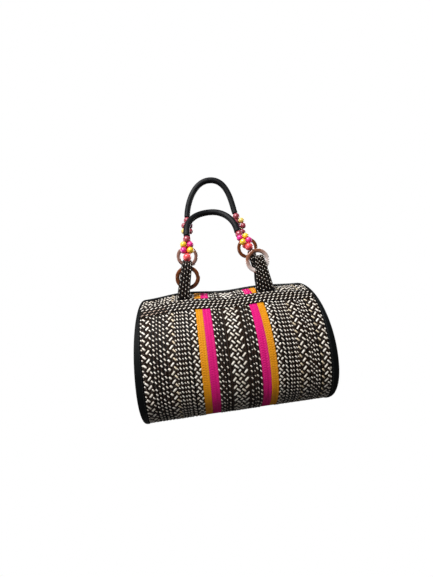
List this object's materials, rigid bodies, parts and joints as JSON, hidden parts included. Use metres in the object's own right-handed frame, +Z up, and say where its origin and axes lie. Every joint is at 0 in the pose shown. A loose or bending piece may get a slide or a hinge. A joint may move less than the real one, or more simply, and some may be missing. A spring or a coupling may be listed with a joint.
{
  "type": "woven cane barrel handbag",
  "caption": "Barrel-shaped handbag of plaited cane braid with coloured stripes, black round ends, an open top mouth and tube grips hung on bead strings, rings and strap tabs.",
  "frame": {"origin": "under the middle of the flat base, on the surface that the bag stands on", "axes": "+X along the barrel, to the right as the front is seen, -Y out of the front, +Z up"},
  "size_m": [0.3, 0.24, 0.4224],
  "materials": {
    "cane_braid": "plaited cane, satin",
    "orange_braid": "plain dyed braid, matte",
    "pink_braid": "plain dyed braid, matte",
    "black_cloth": "black cloth, matte",
    "grip_cloth": "black tube, satin",
    "ring_wood": "polished wood",
    "coral_bead": "painted wood, satin",
    "pink_bead": "painted wood, satin",
    "yellow_bead": "painted wood, satin",
    "thread": "waxed thread"
  },
  "bodies": {
    "root": {"panel_left": "cane_braid", "panel_middle": "cane_braid", "panel_right": "cane_braid", "seam_band_front": "cane_braid", "seam_band_back": "cane_braid", "stripe_orange_left": "orange_braid", "stripe_pink_left": "pink_braid", "end_cap_left": "black_cloth", "stripe_orange_right": "orange_braid", "stripe_pink_right": "pink_braid", "end_cap_right": "black_cloth", "mouth_edge_front": "black_cloth", "grip_front": "grip_cloth", "mouth_edge_back": "black_cloth", "grip_back": "grip_cloth", "tab_front_left": "cane_braid", "ring_front_left": "ring_wood", "cord_front_left": "thread", "bead_front_left_top": "coral_bead", "bead_front_left_bottom": "coral_bead", "bead_front_left_upper_right": "pink_bead", "bead_front_left_upper_left": "yellow_bead", "bead_front_left_upper_rear": "coral_bead", "bead_front_left_lower_right": "yellow_bead", "bead_front_left_lower_left": "pink_bead", "bead_front_left_lower_rear": "coral_bead", "tab_front_right": "cane_braid", "ring_front_right": "ring_wood", "cord_front_right": "thread", "bead_front_right_top": "coral_bead", "bead_front_right_bottom": "coral_bead", "bead_front_right_upper_right": "yellow_bead", "bead_front_right_upper_left": "pink_bead", "bead_front_right_upper_rear": "coral_bead", "bead_front_right_lower_right": "pink_bead", "bead_front_right_lower_left": "yellow_bead", "bead_front_right_lower_rear": "coral_bead", "tab_back_left": "cane_braid", "ring_back_left": "ring_wood", "cord_back_left": "thread", "bead_back_left_top": "coral_bead", "bead_back_left_bottom": "coral_bead", "bead_back_left_upper_right": "pink_bead", "bead_back_left_upper_left": "coral_bead", "bead_back_left_upper_rear": "yellow_bead", "bead_back_left_lower_right": "coral_bead", "bead_back_left_lower_left": "yellow_bead", "bead_back_left_lower_rear": "pink_bead", "tab_back_right": "cane_braid", "ring_back_right": "ring_wood", "cord_back_right": "thread", "bead_back_right_top": "coral_bead", "bead_back_right_bottom": "coral_bead", "bead_back_right_upper_right": "yellow_bead", "bead_back_right_upper_left": "coral_bead", "bead_back_right_upper_rear": "pink_bead", "bead_back_right_lower_right": "coral_bead", "bead_back_right_lower_left": "pink_bead", "bead_back_right_lower_rear": "yellow_bead"}
  },
  "joints": []
}
